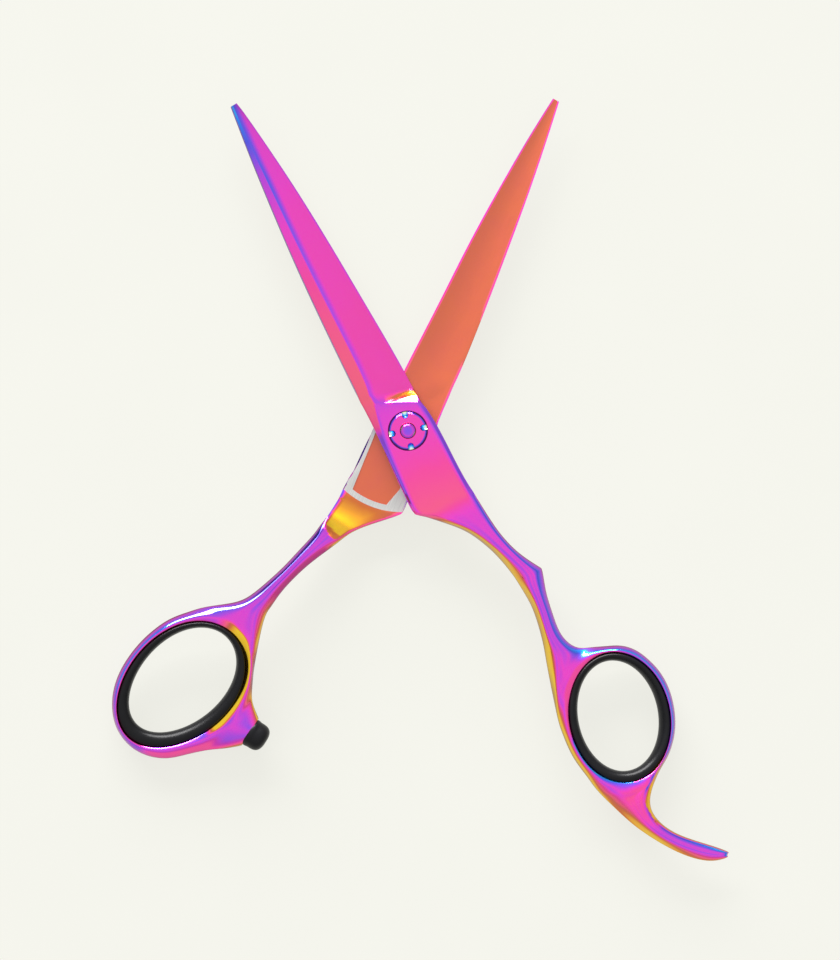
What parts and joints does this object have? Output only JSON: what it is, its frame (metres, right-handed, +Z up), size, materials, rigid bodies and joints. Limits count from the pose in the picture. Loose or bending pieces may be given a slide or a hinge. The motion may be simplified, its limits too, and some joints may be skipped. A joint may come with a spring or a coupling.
{
  "type": "hairdressing shears",
  "caption": "Hairdressing shears with a screw pivot and tension dial, rubber-lined finger rings, a finger rest and a rubber bumper, lying flat with the blades open.",
  "frame": {"origin": "on the pivot axis, at the flat underside of the pivot stud's head", "axes": "+Z up, along the pivot axis, from the stud's head to the tension dial; +Y towards the blade tips of the shears lying open; +X towards the finger ring's side"},
  "size_m": [0.1179, 0.1457, 0.0091],
  "materials": {
    "coated_steel": "mirror-polished steel with a rainbow titanium coating: pink, violet, blue and gold",
    "bare_steel": "bare ground steel",
    "rubber": "satin black moulded rubber",
    "nylon": "plain white nylon",
    "brass": "turned brass"
  },
  "bodies": {
    "finger_half": {"finger_blade": "coated_steel", "finger_ring_insert": "rubber", "pivot_bush": "brass"},
    "thumb_half": {"thumb_blade": "coated_steel", "thumb_ring_insert": "rubber", "bumper": "rubber", "pivot_stud": "coated_steel", "ride_washer": "nylon", "click_plate": "bare_steel", "click_spring": "bare_steel"},
    "dial": {"tension_dial": "coated_steel"}
  },
  "joints": [
    {"name": "blade_pivot", "type": "hinge", "parent": "finger_half", "child": "thumb_half", "pos_m": [0, 0, 0.0045], "axis": [0, 0, 1], "range_deg": [-68, 51]},
    {"name": "dial_turn", "type": "hinge", "parent": "thumb_half", "child": "dial", "pos_m": [0, 0, 0.0075], "axis": [0, 0, 1], "range_deg": [-180, 180]}
  ]
}
